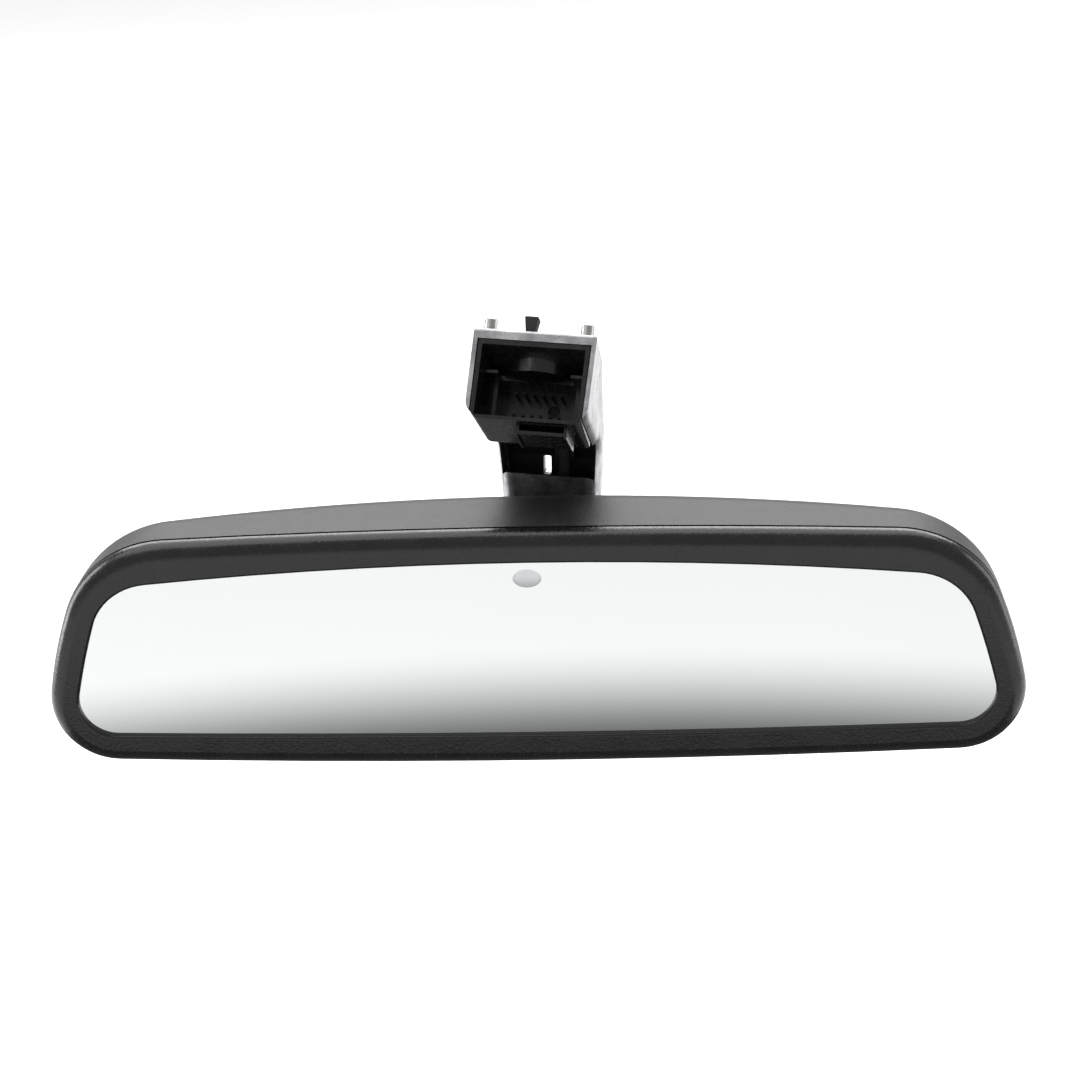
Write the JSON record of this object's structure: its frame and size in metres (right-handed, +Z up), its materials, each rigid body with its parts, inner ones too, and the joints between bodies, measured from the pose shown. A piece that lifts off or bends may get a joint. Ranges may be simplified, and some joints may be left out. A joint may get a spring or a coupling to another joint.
{
  "type": "interior rearview mirror",
  "caption": "Wide interior rearview mirror with a dimming glass in a plastic head, on a ball joint and a die-cast arm that locks onto a round windshield button.",
  "frame": {"origin": "centre of the round button socket, in the mounting face on top of the arm", "axes": "+X to the right seen from the driver, along the mirror's length; +Y towards the windshield; +Z up. The mounting face is tilted towards the windshield."},
  "size_m": [0.2585, 0.05, 0.1172],
  "materials": {
    "bezel_plastic": "fine grain, black",
    "housing_plastic": "fine grain, black",
    "front_glass": "clear float glass",
    "rear_mirror": "silvered behind the dimming layer",
    "seal_resin": "cured resin",
    "clip_metal": "bright thin strip",
    "foam": "adhesive foam",
    "inner_plastic": "plain moulded",
    "board_laminate": "solder mask",
    "chip_plastic": "moulded resin",
    "can_aluminium": "plain",
    "clear_plastic": "clear moulding",
    "connector_plastic": "natural",
    "lead_sheath": "soft sheath",
    "spring_steel": "plain spring steel",
    "cap_steel": "zinc plated",
    "cup_plastic": "acetal",
    "screw_steel": "zinc plated",
    "cast_metal": "satin die casting",
    "stud_steel": "ground",
    "guide_plastic": "plain moulded",
    "insert_plastic": "moulded, black",
    "contact_brass": "tin flash",
    "pin_steel": "turned",
    "tab_rubber": "moulded"
  },
  "bodies": {
    "arm": {"arm_casting": "cast_metal", "ball_stud": "stud_steel", "cable_guide": "guide_plastic", "arm_harness": "lead_sheath", "connector_carrier": "insert_plastic", "contact_pins": "contact_brass", "snap_ring": "spring_steel", "locating_pins": "pin_steel", "buffer_tab": "tab_rubber"},
    "front_shell": {"front_cup": "cup_plastic"},
    "rear_shell": {"rear_cup": "cup_plastic"},
    "mirror_head": {"front_bezel": "bezel_plastic", "rear_housing": "housing_plastic", "front_glass": "front_glass", "rear_glass": "rear_mirror", "cell_seal": "seal_resin", "bus_clip_upper": "clip_metal", "bus_clip_lower": "clip_metal", "foam_pad": "foam", "carrier_plate": "inner_plastic", "circuit_board": "board_laminate", "control_chip": "chip_plastic", "capacitors": "can_aluminium", "resistors": "chip_plastic", "glare_sensor": "chip_plastic", "glare_light_pipe": "clear_plastic", "ambient_sensor": "chip_plastic", "ambient_window": "clear_plastic", "board_connector": "connector_plastic", "head_plug": "connector_plastic", "head_harness": "lead_sheath", "socket_base": "inner_plastic", "pressure_ring": "inner_plastic", "wave_spring": "spring_steel", "socket_cap": "cap_steel", "socket_screws": "screw_steel", "base_screws": "screw_steel", "board_screws": "screw_steel", "housing_screws": "screw_steel"}
  },
  "joints": [
    {"name": "yaw", "type": "hinge", "parent": "arm", "child": "front_shell", "pos_m": [-0.00383, -0.01161, -0.06617], "axis": [0, 0, 1], "range_deg": [-25, 6]},
    {"name": "pitch", "type": "hinge", "parent": "front_shell", "child": "rear_shell", "pos_m": [-0.00383, -0.01161, -0.06617], "axis": [1, 0, 0], "range_deg": [-6, 12]},
    {"name": "roll", "type": "hinge", "parent": "rear_shell", "child": "mirror_head", "pos_m": [-0.00383, -0.01161, -0.06617], "axis": [0, 1, 0], "range_deg": [-4, 6]}
  ]
}
